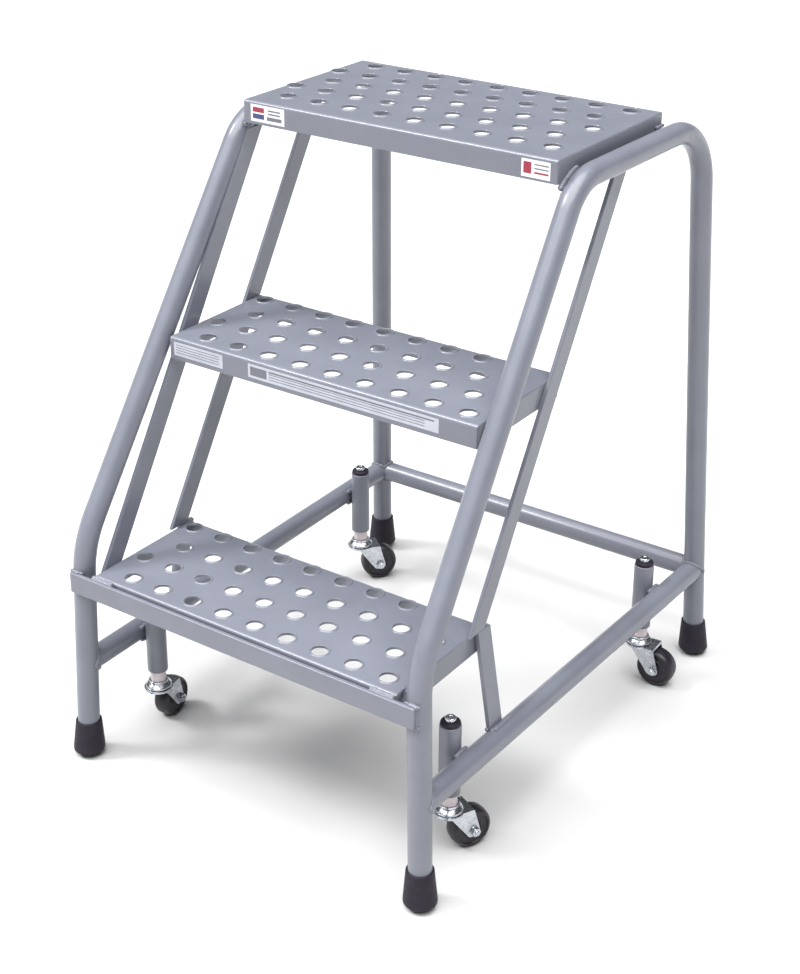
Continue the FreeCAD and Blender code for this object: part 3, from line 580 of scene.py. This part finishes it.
@dataclass
class Tread:
    """A pressed pan with a rounded nose, folded flanges and staggered holes with rolled lips."""

    node: str
    level: int
    depth: float = 170.0
    rows: int = 4
    rear_margin: float = 12.5
    side_margin: float = 17.5
    row_shift: float = 22.75
    width: float = 430.0
    gauge: float = 2.0
    drop: float = 27.5
    nose: float = 4.5
    fold: float = 2.0
    pitch: float = 45.5
    row_pitch: float = 45.0
    columns: int = 9
    hole: float = 10.0
    rise: float = 254.0
    run: float = 148.0
    clearance: float = 7.0
    nose_y: float = -324.76
    lip: tuple[tuple[float, ...], ...] = (
        (9.8, -2.0), (9.8, 0.75), (10.15, 1.15), (10.7, 1.2), (11.3, 1.02), (11.9, 0.55),
        (12.4, -0.05), (11.2, -0.9), (10.4, -2.0))

    @property
    def corner(self) -> Vector:
        """The middle of the front edge, at the top of the sheet."""
        return Vector((0, self.nose_y + (self.level - 1) * self.run,
                       self.level * self.rise + self.clearance))

    def pan(self) -> bpy.types.Object:
        """Build the folded pan before it is pierced."""
        shape = bmesh.new()
        weight = shape.edges.layers.float.new("bevel_weight_edge")
        half, depth, gauge = self.width / 2, self.depth, self.gauge
        rings = []
        for inset, top in ((0.0, 0.0), (0.0, -self.drop), (gauge, -self.drop), (gauge, -gauge)):
            rings.append([shape.verts.new((self.corner + Vector((x, y, top))) * MM) for x, y in (
                (inset - half, inset), (half - inset, inset), (half - inset, depth - inset),
                (inset - half, depth - inset))])
        shape.faces.new(rings[0])
        shape.faces.new(rings[3])
        for low, high in zip(rings, rings[1:]):
            for k in range(4):
                shape.faces.new((low[k], low[(k + 1) % 4], high[(k + 1) % 4], high[k]))
        bmesh.ops.recalc_face_normals(shape, faces=shape.faces)
        for k in range(4):
            top_edge = shape.edges.get((rings[0][k], rings[0][(k + 1) % 4]))
            top_edge[weight] = 1.0 if k == 0 else self.fold / self.nose
            shape.edges.get((rings[0][k], rings[1][k]))[weight] = self.fold / self.nose
        blank = new_piece(f"{self.node}_pressed", shape)
        bevel = blank.modifiers.new("folds", "BEVEL")
        bevel.limit_method = "WEIGHT"
        bevel.width = self.nose * MM
        bevel.segments = 4
        return baked(blank)

    def build(self, tree: tuple[Any, dict[str, str]]) -> None:
        """Pierce the pan and hand it over.

        Args:
            tree: The perforation tree and its inputs.
        """
        lip = new_piece("rolled_lip", lathe(self.lip, Matrix.Scale(MM, 4), segments=32), sharp=50)
        middle = self.corner + Vector((
            self.side_margin - self.width / 2 + (self.columns - 1) * self.pitch / 2,
            self.depth - self.rear_margin - (self.rows - 1) * self.row_pitch / 2, 0))
        pan = run_tree(self.pan(), tree, {
            "Pitch": self.pitch * MM, "Row Pitch": self.row_pitch * MM, "Columns": self.columns,
            "Rows": self.rows, "Row Shift": self.row_shift * MM, "Middle": tuple(middle * MM),
            "Hole Radius": self.hole * MM, "Cutter Depth": 3 * self.gauge * MM, "Lip": lip,
            "Finish": POWDER_COAT.material()})
        bpy.data.objects.remove(lip)
        hand_over(even_shading(pan), "frame", (self.node,))


@dataclass
class Label:
    """A blank vinyl label with plain printed bars, stuck on a front flange."""

    name: str
    tread: Tread
    left: float  # from the middle of the tread
    width: float
    top: float  # below the tread's top
    height: float
    film: Finish = VINYL
    bars: tuple[tuple[float, float, float, float, Finish], ...] = ()
    thickness: float = 0.12
    print_thickness: float = 0.04
    corner: float = 1.0

    def slab(self, left: float, top: float, width: float, height: float, low: float,
             high: float) -> bmesh.types.BMesh:
        """Build one thin slab on the flange, from its left and top edges on the label."""
        origin = self.tread.corner
        place = Matrix.Scale(MM, 4) @ Matrix.Translation((
            self.left + left, origin.y, origin.z - self.top - top)) @ Matrix.Rotation(
                math.radians(90), 4, "X")
        return prism(((0, -height), (width, -height), (width, 0), (0, 0)), low, high, place)

    def build(self) -> None:
        """Build the film and its printed bars as one piece."""
        film = self.slab(0, 0, self.width, self.height, 0.02, self.thickness)
        finishes = [self.film]
        shapes = [film]
        for left, top, width, height, ink in self.bars:
            if ink not in finishes:
                finishes.append(ink)
            bar = self.slab(left, top, width, height, self.thickness,
                            self.thickness + self.print_thickness)
            for face in bar.faces:
                face.material_index = finishes.index(ink)
            shapes.append(bar)
        hand_over(new_piece(self.name, joined(shapes), finishes), "frame")


@dataclass
class Welds:
    """The weld beads, painted over with the frame."""

    frames: SideFrames
    treads: Sequence[Tread]
    spacing: float = 2.1
    paths: list[tuple[list[Vector], float]] = field(default_factory=list)

    def run(self, bead: float, *points: Sequence[float]) -> None:
        """Add one weld through points in millimetres, with its bead's radius."""
        self.paths.append(([Vector(point) for point in points], bead))

    def saddle(self, centre: Vector, along: Vector, post: Vector, bead: float = 2.6) -> None:
        """Add the weld around a tube's end where it meets another tube of its size.

        Args:
            centre: Where the two axes cross.
            along: From there along the tube that ends.
            post: Along the tube that runs through.
            bead: The bead's radius.
        """
        radius = self.frames.tube_od / 2
        along = along.normalized()
        across = along.cross(post).normalized()
        upright = across.cross(along)
        ring = []
        for step in range(33):
            angle = math.tau * step / 32
            reach = radius * abs(math.sin(angle)) + 0.6
            ring.append(centre + along * reach + (across * math.cos(angle)
                                                  + upright * math.sin(angle)) * (radius + 0.2))
        self.run(bead, *ring)

    def tube_joints(self) -> None:
        """Weld the braces to the legs and the cross tube to the rear legs."""
        f = self.frames
        for side in Side:
            near, far = f.leg(side, f.brace_z, False), f.leg(side, f.brace_z, True)
            for spot, other, rear in ((near, far, False), (far, near, True)):
                post = f.leg(side, f.brace_z + 50, rear) - spot
                self.saddle(spot, other - spot, post)
            across = Vector((-side.value, 0, 0))
            self.saddle(far, across, f.leg(side, f.brace_z + 50, True) - far)

    def front_bar(self) -> None:
        """Weld the bar to the first tread's nose and to the legs."""
        low, high = (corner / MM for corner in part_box("front_bar"))
        nose = self.treads[0].corner
        back, top = high.y, high.z
        for side in Side:
            s = side.value
            for lift, depth in ((-1.6, 1.6), (-2.6, 4.2), (-0.6, 3.0)):
                start, end = nose.x + s * 186, nose.x + s * 213
                self.run(3.2, (start, back + depth, top + lift), (end, back + depth, top + lift))
            leg = self.frames.leg(side, top, False)
            for height in (top + 0.2, low.z - 0.2):
                self.run(2.2, (leg.x - 8, back + 1.2, height), (leg.x + 8, back + 1.2, height))
            end = s * (high.x - 0.4)
            self.run(2.8, (end, back + 1.6, low.z + 3), (end, back + 1.6, top - 2))
            self.run(3.4, (end - s * 7, back + 0.6, top), (end, back + 0.6, top - 0.6))

    def platform(self) -> None:
        """Weld the platform's side flanges to the rails."""
        f, deck = self.frames, self.treads[2]
        rise = math.atan2(f.rail_z - f.knee_z, f.slant_reach)
        centre_y = f.knee_y + f.slant_reach + f.shoulder_radius * math.tan(rise / 2)
        centre_z = f.rail_z - f.shoulder_radius
        for side in Side:
            beside = side.value * (deck.width / 2 + 1.4)
            bend = []
            for step in range(9):
                angle = rise * (0.7 - 0.48 * step / 8)
                reach = f.shoulder_radius + 9.5
                bend.append((beside, centre_y - reach * math.sin(angle),
                             centre_z + reach * math.cos(angle)))
            self.run(3.4, *bend)
            rear = deck.corner.y + deck.depth
            gap = side.value * 3.0 * math.tan(math.radians(f.toe_out))
            self.run(2.6, (beside + gap, rear - 16, f.rail_z + 9), (beside + gap, rear - 2, f.rail_z + 9))

    def stringers(self, slope: float = 31.2, half: float = 14.6) -> None:
        """Weld the stringers to the side flanges they pass.

        Args:
            slope: The stringers' angle from the vertical.
            half: Half of a stringer's width, measured along Y.
        """
        first_top = self.treads[0].corner.z
        for side in Side:
            x = side.value * (self.treads[0].width / 2 + 0.8)
            for offset, levels in ((24.0, (0, 1)), (142.0, (1,))):
                for level in levels:
                    deck = self.treads[level]
                    top = deck.corner.z - 4
                    low = deck.corner.z - deck.drop + 2
                    for edge in (-half, half):
                        self.run(1.3, *((x, self.frames.knee_y + offset + edge
                                         + (z - first_top) * math.tan(math.radians(slope)), z)
                                        for z in (low, top)))

    def struts(self, offset: float = 156.0, half: float = 12.5) -> None:
        """Weld the struts to the first tread's rear corners and to the braces.

        Args:
            offset: A strut's middle behind the knee.
            half: Half of its width.
        """
        deck = self.treads[0]
        for side in Side:
            s, y = side.value, self.frames.knee_y + offset
            edge, top = s * (deck.width / 2 + 2.4), deck.corner.z
            self.run(2.5, (edge, y - half + 1, top - 0.6), (edge, y + half - 3, top - 0.6))
            foot = self.frames.point(side, y, self.frames.brace_z)
            self.run(3.0, (foot.x - s, foot.y - half + 2, foot.z + 13.7),
                     (foot.x - s, foot.y + half + 9, foot.z + 13.7))
            inner = foot - Vector((s * 6.6, 3.0, 0))
            for drift in (-2.4, 3.6):
                self.run(2.6, (inner.x + s * drift, inner.y - half, inner.z + 13.1),
                         (inner.x + s * drift, inner.y + half, inner.z + 13.1))

    def sockets(self) -> None:
        """Weld the sockets into the groove beside the braces, above and below."""
        for joint in frame["joints"]:
            if not joint["name"].endswith("_swivel"):
                continue
            axis = Vector(joint["pos_m"]) / MM
            side = Side.LEFT if axis.x < 0 else Side.RIGHT
            beside = self.frames.point(side, axis.y, self.frames.brace_z)
            x = beside.x - side.value * 11.6
            for lift in (8.6, -8.6):
                self.run(3.2, (x, axis.y - 9.5, beside.z + lift), (x, axis.y + 9.5, beside.z + lift))

    def build(self, tree: tuple[Any, dict[str, str]]) -> None:
        """Lay the ripples along every path.

        Args:
            tree: The weld tree and its inputs.
        """
        for group, name in ((self.tube_joints, "welds_tubes"), (self.front_bar, "welds_front_bar"),
                            (self.platform, "welds_platform"), (self.stringers, "welds_stringers"),
                            (self.struts, "welds_struts"), (self.sockets, "welds_sockets")):
            self.paths.clear()
            group()
            mesh = bpy.data.meshes.new(name)
            points: list[Vector] = []
            edges: list[tuple[int, int]] = []
            beads: list[float] = []
            for path, bead in self.paths:
                first = len(points)
                points += [point * MM for point in path]
                beads += [bead * MM] * len(path)
                edges += [(first + k, first + k + 1) for k in range(len(path) - 1)]
            mesh.from_pydata(points, edges, [])
            mesh.attributes.new("bead", "FLOAT", "POINT").data.foreach_set("value", beads)
            piece = bpy.data.objects.new(name, mesh)
            bpy.context.scene.collection.objects.link(piece)
            run_tree(piece, tree, {"Ripple Spacing": self.spacing * MM, "Seed": 7,
                                   "Finish": POWDER_COAT.material()})
            hand_over(piece, "frame")


# ------------------------------------------------------------------ rubber feet
@dataclass
class RubberFoot:
    """A tapered rubber cup pushed on a leg, its sole level with the floor."""

    corner: str
    side: Side
    rear: bool
    frames: SideFrames
    sole_z: float = 7.0
    height: float = 42.0
    base: float = 19.8
    top: float = 15.8
    bore: float = 13.6
    sole: float = 8.0

    def build(self) -> None:
        """Turn the cup about the leg, with every ring kept level."""
        low = self.frames.leg(self.side, self.sole_z, self.rear)
        rise = self.frames.leg(self.side, self.sole_z + self.height, self.rear) - low
        lean = Matrix.Identity(4)
        lean[0][2], lean[1][2] = rise.x / self.height, rise.y / self.height
        place = Matrix.Scale(MM, 4) @ Matrix.Translation(low) @ lean
        collar = self.height - 5.0
        skirt = self.base - 0.4
        profile = (
            (0.0, 0.0), (skirt - 0.4, 0.0, 2.0), (skirt, 3.0, 2.0), (skirt - 0.5, 9.0),
            (self.top + 0.5, collar, 1.0), (self.top + 0.35, collar + 0.6),
            (self.top, self.height, 1.3), (self.bore, self.height, 0.6), (self.bore, self.sole),
            (0.0, self.sole))
        cup = new_piece(f"foot_{self.corner}_moulded", lathe(profile, place, segments=56),
                        (FOOT_RUBBER,), sharp=40)
        hand_over(cup, "frame", (f"foot_{self.corner}",))


# ------------------------------------------------------------------ spring casters
@dataclass
class SpringCaster:
    """A swivel caster on a sprung stem in its socket."""

    corner: str
    axis: Vector
    axle: Vector
    socket_od: float = 25.4
    socket_bore: float = 11.05
    socket_low: float = 79.5
    socket_top: float = 170.0
    socket_cap: float = 3.0
    stem: float = 5.5
    disc: float = 12.0
    disc_low: float = 62.5
    disc_top: float = 65.5
    head: float = 6.5
    head_height: float = 5.0
    washer: float = 11.8
    washer_height: float = 4.5
    collar: float = 10.0
    bush: float = 10.9
    bush_low: float = 81.0
    bush_top: float = 91.5
    race: float = 16.5
    plate_top: float = 55.0
    wheel_radius: float = 25.4
    wheel_width: float = 22.0
    axle_radius: float = 3.1
    nut_radius: float = 5.8
    nut_height: float = 4.5
    nut_reach: float = 14.7

    @property
    def upright(self) -> Matrix:
        """The socket's axis frame, standing on the floor."""
        return Matrix.Scale(MM, 4) @ Matrix.Translation((self.axis.x, self.axis.y, 0))

    @property
    def on_axle(self) -> Matrix:
        """The axle's frame: Z along the axle, towards the nut."""
        trail = self.axle - self.axis
        yaw = math.atan2(trail.y, trail.x)
        return (Matrix.Scale(MM, 4) @ Matrix.Translation(self.axle)
                @ Matrix.Rotation(yaw, 4, "Z") @ Matrix.Rotation(math.radians(90), 4, "X"))

    def turned(self, kind: str, label: str, body: str, slot: str, finish: Finish, profile: Profile,
               place: Matrix | None = None) -> None:
        """Turn one piece and hand it over.

        Args:
            kind: The CAD node's name without the corner.
            label: What the piece adds to the node's name.
            body: The kind of body that it rides on, or "frame".
            slot: The record's material slot; not used.
            finish: Its finish.
            profile: The profile to turn.
            place: The axis frame, or the socket's if left out.
        """
        node = f"{kind}_{self.corner}"
        place = self.upright if place is None else place
        piece = new_piece(f"{node}_{label}", lathe(profile, place, segments=64), (finish,), sharp=38)
        hand_over(piece, body if body == "frame" else f"{body}_{self.corner}", (node,))

    def socket(self) -> None:
        """The welded socket with its drilled cap."""
        outer, hole = self.socket_od / 2, self.stem + 0.08
        self.turned("socket", "turned", "frame", "grey_powder_coat", POWDER_COAT, (
            (self.socket_bore, self.socket_low, 0.2), (outer, self.socket_low, 0.6),
            (outer, self.socket_top, 1.6), (hole, self.socket_top),
            (hole, self.socket_top - self.socket_cap),
            (self.socket_bore, self.socket_top - self.socket_cap)))

    def sprung_stem(self) -> None:
        """The stem with its domed head, the rubber stop washer and the nylon bush."""
        low, hole = self.socket_top + 0.1, self.stem + 0.1
        high = low + self.washer_height
        self.turned("stop_washer", "moulded", "plunger", "washer_rubber", FOOT_RUBBER, (
            (hole, low), (self.washer, low, 1.2), (self.washer - 0.2, high, 3.0), (hole, high)))
        head, rivet = high + 0.1, self.plate_top - 2.8
        top = head + self.head_height
        self.turned("stem", "turned", "plunger", "zinc", ZINC_PLATE, (
            (0.0, rivet - 3.5), (7.0, rivet - 3.5, 0.8), (7.0, rivet), (self.stem, rivet),
            (self.stem, self.disc_low), (self.disc, self.disc_low, 0.6),
            (self.disc, self.disc_top, 1.0), (self.stem, self.disc_top),
            (self.stem, head), (self.head, head, 0.4), (self.head, top, 2.4), (2.9, top, 0.3),
            (2.4, top - 0.5, 0.3), (0.0, top - 0.6)))
        low, groove = self.disc_top + 0.1, self.disc_top + 4.5
        self.turned("guide_bush", "moulded", "plunger", "nylon", NYLON, (
            (hole, low), (self.collar, low, 0.6), (self.collar, groove - 0.6, 0.8),
            (self.collar - 0.5, groove, 0.4), (self.collar - 0.5, self.bush_low),
            (self.bush, self.bush_low), (self.bush, self.bush_top, 0.6), (hole, self.bush_top)))
        low, high = self.plate_top + 0.5, self.disc_low - 0.2
        self.turned("race_cup", "pressed", "plunger", "zinc", ZINC_PLATE, (
            (hole, low), (self.race - 1.0, low, 0.2), (self.race, low + 1.0, 0.6),
            (self.race, high - 3.9, 1.4), (self.race - 3.9, high, 0.8), (hole, high)))

    def fork(self) -> None:
        """The pressed fork, and the bolt with its nut."""
        fork = softened_copy(f"fork_{self.corner}", 0.6, 1.2, ZINC_PLATE)
        hand_over(fork, f"swivel_{self.corner}", (f"fork_{self.corner}",))
        rod, reach, high = self.axle_radius, self.nut_reach, self.nut_reach + self.nut_height
        shank = lathe((
            (0.0, -reach - 0.2), (rod, -reach - 0.2), (rod, high - 0.2), (rod - 0.35, high + 0.2),
            (rod - 0.05, high + 0.6), (rod - 0.4, high + 1.0), (rod - 0.1, high + 1.4),
            (rod - 0.7, high + 2.0, 0.3), (0.0, high + 2.0)), self.on_axle, segments=32)
        shapes = [shank, self.hexagon(-high, -reach), self.hexagon(reach, high)]
        bolt = new_piece(f"axle_bolt_{self.corner}_threaded", joined(shapes), (ZINC_PLATE,), sharp=30)
        hand_over(bolt, f"swivel_{self.corner}", (f"axle_bolt_{self.corner}",))

    def hexagon(self, low: float, high: float) -> bmesh.types.BMesh:
        """Build a hexagon with its corners chamfered on both faces."""
        outline = [(self.nut_radius * math.cos(math.tau * k / 6), self.nut_radius
                    * math.sin(math.tau * k / 6)) for k in range(6)]
        nut = prism(outline, low, high, self.on_axle)
        bmesh.ops.bevel(nut, geom=list(nut.edges), offset=0.45 * MM, segments=2, profile=0.5,
                        affect="EDGES")
        return nut

    def wheel(self) -> None:
        """The hard rubber wheel with its moulded faces."""
        half, rim = self.wheel_width / 2, self.wheel_radius
        face = (
            (self.axle_radius + 0.1, half + 1.0), (7.3, half + 1.0, 0.7), (7.6, half - 1.6, 0.6),
            (10.5, half - 2.0, 0.4), (11.0, half - 1.2, 0.3), (12.0, half - 1.2, 0.3),
            (12.5, half - 2.0, 0.4), (rim - 6.5, half - 1.8, 0.8), (rim - 5.7, half, 0.6),
            (rim - 3.2, half, 2.2), (rim - 0.9, half - 3.2, 3.0))
        profile = list(face) + [(rim, 0.0, 12.0)] + [(c[0], -c[1], *c[2:]) for c in reversed(face)]
        self.turned("wheel", "moulded", "roller", "wheel_rubber", WHEEL_RUBBER, profile, self.on_axle)

    def spring(self) -> None:
        """The spring between the stem's bush and the socket's cap, copied as its CAD node stands; the real
        spring shortens there.
        """
        node = f"spring_{self.corner}"
        spring = new_piece(f"{node}_wound", merged_copy(node), (SPRING_WIRE,), sharp=40)
        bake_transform(spring)
        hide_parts(node)
        log.info("%s shortens: %d faces", spring.name, len(spring.data.polygons))

    def build(self) -> None:
        """Build every piece of the caster."""
        self.socket()
        self.sprung_stem()
        self.fork()
        self.wheel()
        self.spring()


# ------------------------------------------------------------------ studio
@dataclass
class Studio:
    """A plain pale floor, soft light and the camera."""

    azimuth: float = 34.9
    elevation: float = 23.1
    roll: float = 0.255
    focal: float = 1799.5
    centre: tuple[float, float] = (391.3, 361.8)
    pan: tuple[float, float] = (-5.0, -91.5)
    distance: float = 2161.9
    target: Point = (0.0, -35.76, 387.0)
    width: int = 800
    height: int = 974
    film: float = 36.0
    paper: str = "C8C8C8"
    paper_reach: float = 60.0  # metres
    overhead: Point = (0.08, -0.2, 1.0)
    key: Point = (-0.53, -0.39, 0.75)
    horizon: float = 1.0  # strength of the room's light near the floor
    zenith: float = 0.1  # and higher up

    def camera(self) -> None:
        """Set up the camera."""
        az, el = math.radians(self.azimuth), math.radians(self.elevation)
        back = Vector((math.sin(az) * math.cos(el), -math.cos(az) * math.cos(el), math.sin(el)))
        level = Vector((math.cos(az), math.sin(az), 0))
        tall = back.cross(level)
        turn = math.radians(self.roll)
        right = level * math.cos(turn) + tall * math.sin(turn)
        up = tall * math.cos(turn) - level * math.sin(turn)
        data = bpy.data.cameras.new("studio_camera")
        data.sensor_width = self.film
        data.lens = self.film * self.focal / self.height
        data.shift_x = (self.width / 2 - self.centre[0]) / self.height
        data.shift_y = (self.centre[1] - self.height / 2) / self.height
        eye = bpy.data.objects.new("studio_camera", data)
        place = Vector(self.target) - right * self.pan[0] - up * self.pan[1] + back * self.distance
        eye.matrix_world = Matrix.Translation(place * MM) @ Matrix((right, up, back)).transposed().to_4x4()
        bpy.context.scene.collection.objects.link(eye)
        bpy.context.scene.camera = eye

    def floor(self) -> None:
        """Lay the pale floor, a large sheet of matt paper."""
        shape = bmesh.new()
        bmesh.ops.create_grid(shape, x_segments=2, y_segments=2, size=self.paper_reach)
        made = bpy.data.materials.new("studio_paper")
        made.use_nodes = True
        surface = made.node_tree.nodes["Principled BSDF"]
        surface.inputs["Base Color"].default_value = linear(self.paper)
        surface.inputs["Roughness"].default_value = 0.9
        surface.inputs["Specular IOR Level"].default_value = 0.1
        sheet = new_piece("studio_floor", shape)
        sheet.data.materials.append(made)

    def light(self, name: str, source: Point, angle: float, energy: float) -> None:
        """Set one far light.

        Args:
            name: The light's name.
            source: The direction that the light comes from.
            angle: How wide it looks, in degrees.
            energy: Its strength in watts per square metre.
        """
        data = bpy.data.lights.new(name, "SUN")
        data.angle = math.radians(angle)
        data.energy = energy
        lamp = bpy.data.objects.new(name, data)
        lamp.matrix_world = Vector(source).to_track_quat("Z", "Y").to_matrix().to_4x4()
        bpy.context.scene.collection.objects.link(lamp)

    def build(self) -> None:
        """Set up the camera, the floor and the lights."""
        self.camera()
        self.floor()
        self.light("overhead_sky", self.overhead, 70, 6.5)
        self.light("key_sun", self.key, 14, 2.1)
        world = bpy.data.worlds.new("studio_room")
        world.use_nodes = True
        tree = world.node_tree
        direction = add_node(tree, "ShaderNodeTexCoord").outputs["Generated"]
        height = add_node(tree, "ShaderNodeSeparateXYZ", {"Vector": direction}).outputs["Z"]
        sky = add_node(tree, "ShaderNodeMapRange", {
            "Value": height, "From Min": 0.02, "From Max": 0.14, "To Min": self.horizon,
            "To Max": self.zenith})
        room = tree.nodes["Background"]
        room.inputs["Color"].default_value = (1, 1, 1, 1)
        tree.links.new(sky.outputs["Result"], room.inputs["Strength"])
        bpy.context.scene.world = world
        bpy.context.scene.view_settings.view_transform = "Standard"


CORNERS = {"front_left": (Side.LEFT, False), "front_right": (Side.RIGHT, False),
           "rear_left": (Side.LEFT, True), "rear_right": (Side.RIGHT, True)}


def main() -> None:
    """Build every sub-assembly in order."""
    logging.basicConfig(level=logging.INFO, format="%(name)s: %(message)s")
    Studio().build()
    frames = SideFrames()
    frames.dress()
    treads = [Tread("tread_lower", 1), Tread("tread_middle", 2),
              Tread("tread_platform", 3, depth=241.0, rows=5, rear_margin=19.5, side_margin=35.0,
                    row_shift=-22.75)]
    perforations = perforation_tree()
    for tread in treads:
        tread.build(perforations)
    FlatBars().build()
    Welds(frames, treads).build(weld_tree())
    for label in labels(treads):
        label.build()
    joints = {joint["name"]: Vector(joint["pos_m"]) / MM for joint in frame["joints"]
              if "pos_m" in joint}
    for corner, (side, rear) in CORNERS.items():
        RubberFoot(corner, side, rear, frames).build()
        SpringCaster(corner, joints[f"{corner}_swivel"], joints[f"{corner}_wheel"]).build()


def labels(treads: Sequence[Tread]) -> list[Label]:
    """Lay out the four blank labels of the front flanges.

    Args:
        treads: The treads, lowest first.

    Returns:
        The labels.
    """
    middle, platform = treads[1], treads[2]
    rules = tuple((3.0, 3.0 + 3.2 * k, 66.0, 0.9, INK_GREY) for k in range(4))
    long_rules = tuple((30.0, 6.2 + 3.2 * k, 214.0, 0.9, INK_GREY) for k in range(3))
    return [
        Label("label_platform_left", platform, -203.5, 50.0, 3.6, 20.5, bars=(
            (3.0, 3.0, 17.0, 6.0, INK_RED), (3.0, 11.0, 17.0, 6.0, INK_BLUE),
            (26.0, 4.0, 18.0, 2.0, INK_GREY), (26.0, 8.0, 18.0, 2.0, INK_GREY),
            (24.0, 12.5, 22.0, 4.5, INK_GREY))),
        Label("label_platform_right", platform, 170.0, 36.0, 4.6, 20.0, bars=(
            (2.5, 3.0, 10.0, 13.0, INK_RED), (16.0, 4.0, 18.0, 1.6, INK_GREY),
            (16.0, 8.5, 18.0, 1.6, INK_GREY), (16.0, 13.0, 18.0, 2.2, INK_RED))),
        Label("label_middle_left", middle, -208.0, 74.0, 5.0, 17.0, VINYL_GREY, rules),
        Label("label_middle_right", middle, -96.0, 262.0, 5.0, 17.0, VINYL_GREY, (
            (3.0, 3.0, 24.0, 11.0, INK_GREY), (30.0, 3.0, 226.0, 2.0, INK_GREY)) + long_rules),
    ]


if __name__ == "__main__":
    main()
